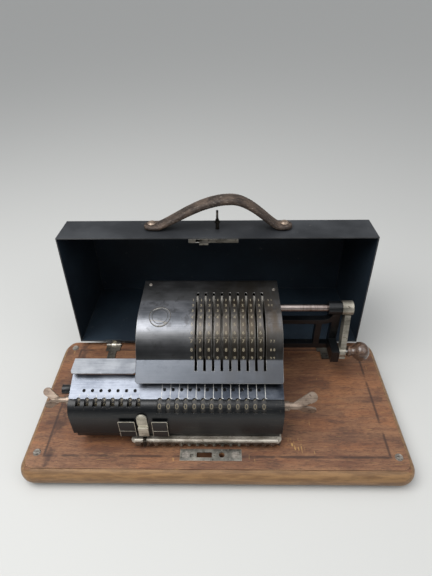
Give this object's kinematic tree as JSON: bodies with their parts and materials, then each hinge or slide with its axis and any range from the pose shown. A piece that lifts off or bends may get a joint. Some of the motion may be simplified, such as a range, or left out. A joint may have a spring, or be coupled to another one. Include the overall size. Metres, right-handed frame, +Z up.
{
  "type": "mechanical calculator",
  "caption": "Pinwheel calculator with crank, setting levers and sliding register carriage, on a wooden base board with a hinged carrying cover standing open behind it.",
  "frame": {"origin": "middle of the base board's underside", "axes": "+X to the right along the board, +Y to the back, +Z up"},
  "size_m": [0.405, 0.3057, 0.2218],
  "materials": {
    "mahogany": "French-polished and worn",
    "screw_steel": "slotted, tarnished",
    "nickel": "worn nickel plate",
    "leatherette": "black grained covering",
    "lock_steel": "pitted",
    "black_iron": "black enamel, chipped",
    "hood_metal": "dark burnished, worn to bare metal at the edges",
    "leather": "cracked brown",
    "brass": "dull",
    "bright_steel": "turned",
    "knob_wood": "gloss varnish",
    "numeral": "dark wheels with ivory figures",
    "key_steel": "blackened"
  },
  "bodies": {
    "board": {"base_board": "mahogany", "screws": "screw_steel", "striker_plate": "lock_steel", "hinge_straps": "nickel", "machine_base": "black_iron", "left_frame": "black_iron", "right_frame": "black_iron", "hood": "hood_metal", "guard_plate": "nickel", "crank_bracket": "black_iron"},
    "case_cover": {"cover_shell": "leatherette", "cover_hinge_leaves": "nickel", "lock_case": "lock_steel", "handle_strap": "leather", "handle_screws": "brass"},
    "lock_bolt": {"lock_bolt": "brass"},
    "key": {"key": "key_steel"},
    "rotor": {"rotor_shaft": "bright_steel", "pinwheels": "brass"},
    "idler": {"idler_gear": "bright_steel"},
    "crank": {"crank_shaft": "bright_steel", "crank_arm_plate": "nickel"},
    "crank_knob": {"crank_knob": "knob_wood", "lock_pin": "bright_steel"},
    "carriage": {"carriage_body": "black_iron", "carriage_top": "nickel", "transfer_pinions": "brass"},
    "result_wing": {"result_wing": "nickel"},
    "counter_wing": {"counter_wing": "nickel"},
    "carriage_latch": {"carriage_latch": "nickel"},
    "setting_lever_1": {"setting_lever_1": "bright_steel"},
    "setting_lever_2": {"setting_lever_2": "bright_steel"},
    "setting_lever_3": {"setting_lever_3": "bright_steel"},
    "setting_lever_4": {"setting_lever_4": "bright_steel"},
    "setting_lever_5": {"setting_lever_5": "bright_steel"},
    "setting_lever_6": {"setting_lever_6": "bright_steel"},
    "setting_lever_7": {"setting_lever_7": "bright_steel"},
    "setting_lever_8": {"setting_lever_8": "bright_steel"},
    "setting_lever_9": {"setting_lever_9": "bright_steel"},
    "result_wheel_1": {"result_wheel_1": "numeral"},
    "result_wheel_2": {"result_wheel_2": "numeral"},
    "result_wheel_3": {"result_wheel_3": "numeral"},
    "result_wheel_4": {"result_wheel_4": "numeral"},
    "result_wheel_5": {"result_wheel_5": "numeral"},
    "result_wheel_6": {"result_wheel_6": "numeral"},
    "result_wheel_7": {"result_wheel_7": "numeral"},
    "result_wheel_8": {"result_wheel_8": "numeral"},
    "result_wheel_9": {"result_wheel_9": "numeral"},
    "result_wheel_10": {"result_wheel_10": "numeral"},
    "result_wheel_11": {"result_wheel_11": "numeral"},
    "result_wheel_12": {"result_wheel_12": "numeral"},
    "result_wheel_13": {"result_wheel_13": "numeral"},
    "counter_wheel_1": {"counter_wheel_1": "numeral"},
    "counter_wheel_2": {"counter_wheel_2": "numeral"},
    "counter_wheel_3": {"counter_wheel_3": "numeral"},
    "counter_wheel_4": {"counter_wheel_4": "numeral"},
    "counter_wheel_5": {"counter_wheel_5": "numeral"},
    "counter_wheel_6": {"counter_wheel_6": "numeral"},
    "counter_wheel_7": {"counter_wheel_7": "numeral"},
    "counter_wheel_8": {"counter_wheel_8": "numeral"}
  },
  "joints": [
    {"name": "cover_hinge", "type": "hinge", "parent": "board", "child": "case_cover", "pos_m": [0, 0.0826, 0.026], "axis": [-1, 0, 0], "range_deg": [-93.5, 0]},
    {"name": "key_turn", "type": "hinge", "parent": "case_cover", "child": "key", "pos_m": [0.001, 0.11413, 0.18116], "axis": [0, 0.061, 0.9981], "range_deg": [0, 90]},
    {"name": "bolt_slide", "type": "slide", "parent": "case_cover", "child": "lock_bolt", "axis": [-1, 0, 0], "range_m": [0, 0.004]},
    {"name": "crank_turn", "type": "hinge", "parent": "board", "child": "crank", "pos_m": [0, 0.057, 0.1123], "axis": [-1, 0, 0], "continuous": true},
    {"name": "idler_turn", "type": "hinge", "parent": "board", "child": "idler", "pos_m": [0, 0.0385, 0.10465], "axis": [-1, 0, 0], "continuous": true},
    {"name": "rotor_turn", "type": "hinge", "parent": "board", "child": "rotor", "pos_m": [0, 0.02, 0.097], "axis": [-1, 0, 0], "continuous": true},
    {"name": "knob_pull", "type": "slide", "parent": "crank", "child": "crank_knob", "axis": [1, 0, 0], "range_m": [-0.0025, 0]},
    {"name": "carriage_slide", "type": "slide", "parent": "board", "child": "carriage", "axis": [1, 0, 0], "range_m": [0, 0.05985]},
    {"name": "latch_lift", "type": "slide", "parent": "carriage", "child": "carriage_latch", "axis": [0, 0, 1], "range_m": [0, 0.003], "stiffness_N_per_m": 200, "springref_m": -0.001},
    {"name": "result_clearing", "type": "hinge", "parent": "carriage", "child": "result_wing", "pos_m": [0, -0.046, 0.0706], "axis": [1, 0, 0], "continuous": true},
    {"name": "counter_clearing", "type": "hinge", "parent": "carriage", "child": "counter_wing", "pos_m": [0, -0.0445, 0.0772], "axis": [1, 0, 0], "continuous": true},
    {"name": "setting_lever_1_set", "type": "hinge", "parent": "rotor", "child": "setting_lever_1", "pos_m": [0, 0.02, 0.097], "axis": [1, 0, 0], "range_deg": [0, 96]},
    {"name": "setting_lever_2_set", "type": "hinge", "parent": "rotor", "child": "setting_lever_2", "pos_m": [0, 0.02, 0.097], "axis": [1, 0, 0], "range_deg": [0, 96]},
    {"name": "setting_lever_3_set", "type": "hinge", "parent": "rotor", "child": "setting_lever_3", "pos_m": [0, 0.02, 0.097], "axis": [1, 0, 0], "range_deg": [0, 96]},
    {"name": "setting_lever_4_set", "type": "hinge", "parent": "rotor", "child": "setting_lever_4", "pos_m": [0, 0.02, 0.097], "axis": [1, 0, 0], "range_deg": [0, 96]},
    {"name": "setting_lever_5_set", "type": "hinge", "parent": "rotor", "child": "setting_lever_5", "pos_m": [0, 0.02, 0.097], "axis": [1, 0, 0], "range_deg": [0, 96]},
    {"name": "setting_lever_6_set", "type": "hinge", "parent": "rotor", "child": "setting_lever_6", "pos_m": [0, 0.02, 0.097], "axis": [1, 0, 0], "range_deg": [0, 96]},
    {"name": "setting_lever_7_set", "type": "hinge", "parent": "rotor", "child": "setting_lever_7", "pos_m": [0, 0.02, 0.097], "axis": [1, 0, 0], "range_deg": [0, 96]},
    {"name": "setting_lever_8_set", "type": "hinge", "parent": "rotor", "child": "setting_lever_8", "pos_m": [0, 0.02, 0.097], "axis": [1, 0, 0], "range_deg": [0, 96]},
    {"name": "setting_lever_9_set", "type": "hinge", "parent": "rotor", "child": "setting_lever_9", "pos_m": [0, 0.02, 0.097], "axis": [1, 0, 0], "range_deg": [0, 96]},
    {"name": "result_wheel_1_turn", "type": "hinge", "parent": "carriage", "child": "result_wheel_1", "pos_m": [0, -0.046, 0.0706], "axis": [1, 0, 0], "continuous": true},
    {"name": "result_wheel_2_turn", "type": "hinge", "parent": "carriage", "child": "result_wheel_2", "pos_m": [0, -0.046, 0.0706], "axis": [1, 0, 0], "continuous": true},
    {"name": "result_wheel_3_turn", "type": "hinge", "parent": "carriage", "child": "result_wheel_3", "pos_m": [0, -0.046, 0.0706], "axis": [1, 0, 0], "continuous": true},
    {"name": "result_wheel_4_turn", "type": "hinge", "parent": "carriage", "child": "result_wheel_4", "pos_m": [0, -0.046, 0.0706], "axis": [1, 0, 0], "continuous": true},
    {"name": "result_wheel_5_turn", "type": "hinge", "parent": "carriage", "child": "result_wheel_5", "pos_m": [0, -0.046, 0.0706], "axis": [1, 0, 0], "continuous": true},
    {"name": "result_wheel_6_turn", "type": "hinge", "parent": "carriage", "child": "result_wheel_6", "pos_m": [0, -0.046, 0.0706], "axis": [1, 0, 0], "continuous": true},
    {"name": "result_wheel_7_turn", "type": "hinge", "parent": "carriage", "child": "result_wheel_7", "pos_m": [0, -0.046, 0.0706], "axis": [1, 0, 0], "continuous": true},
    {"name": "result_wheel_8_turn", "type": "hinge", "parent": "carriage", "child": "result_wheel_8", "pos_m": [0, -0.046, 0.0706], "axis": [1, 0, 0], "continuous": true},
    {"name": "result_wheel_9_turn", "type": "hinge", "parent": "carriage", "child": "result_wheel_9", "pos_m": [0, -0.046, 0.0706], "axis": [1, 0, 0], "continuous": true},
    {"name": "result_wheel_10_turn", "type": "hinge", "parent": "carriage", "child": "result_wheel_10", "pos_m": [0, -0.046, 0.0706], "axis": [1, 0, 0], "continuous": true},
    {"name": "result_wheel_11_turn", "type": "hinge", "parent": "carriage", "child": "result_wheel_11", "pos_m": [0, -0.046, 0.0706], "axis": [1, 0, 0], "continuous": true},
    {"name": "result_wheel_12_turn", "type": "hinge", "parent": "carriage", "child": "result_wheel_12", "pos_m": [0, -0.046, 0.0706], "axis": [1, 0, 0], "continuous": true},
    {"name": "result_wheel_13_turn", "type": "hinge", "parent": "carriage", "child": "result_wheel_13", "pos_m": [0, -0.046, 0.0706], "axis": [1, 0, 0], "continuous": true},
    {"name": "counter_wheel_1_turn", "type": "hinge", "parent": "carriage", "child": "counter_wheel_1", "pos_m": [0, -0.0445, 0.0772], "axis": [1, 0, 0], "continuous": true},
    {"name": "counter_wheel_2_turn", "type": "hinge", "parent": "carriage", "child": "counter_wheel_2", "pos_m": [0, -0.0445, 0.0772], "axis": [1, 0, 0], "continuous": true},
    {"name": "counter_wheel_3_turn", "type": "hinge", "parent": "carriage", "child": "counter_wheel_3", "pos_m": [0, -0.0445, 0.0772], "axis": [1, 0, 0], "continuous": true},
    {"name": "counter_wheel_4_turn", "type": "hinge", "parent": "carriage", "child": "counter_wheel_4", "pos_m": [0, -0.0445, 0.0772], "axis": [1, 0, 0], "continuous": true},
    {"name": "counter_wheel_5_turn", "type": "hinge", "parent": "carriage", "child": "counter_wheel_5", "pos_m": [0, -0.0445, 0.0772], "axis": [1, 0, 0], "continuous": true},
    {"name": "counter_wheel_6_turn", "type": "hinge", "parent": "carriage", "child": "counter_wheel_6", "pos_m": [0, -0.0445, 0.0772], "axis": [1, 0, 0], "continuous": true},
    {"name": "counter_wheel_7_turn", "type": "hinge", "parent": "carriage", "child": "counter_wheel_7", "pos_m": [0, -0.0445, 0.0772], "axis": [1, 0, 0], "continuous": true},
    {"name": "counter_wheel_8_turn", "type": "hinge", "parent": "carriage", "child": "counter_wheel_8", "pos_m": [0, -0.0445, 0.0772], "axis": [1, 0, 0], "continuous": true}
  ],
  "couplings": [
    {"joint": "idler_turn", "follows": "crank_turn", "ratio": -1.6667},
    {"joint": "rotor_turn", "follows": "crank_turn", "ratio": 1},
    {"joint": "bolt_slide", "follows": "key_turn", "m_per_rad": 0.002546}
  ]
}
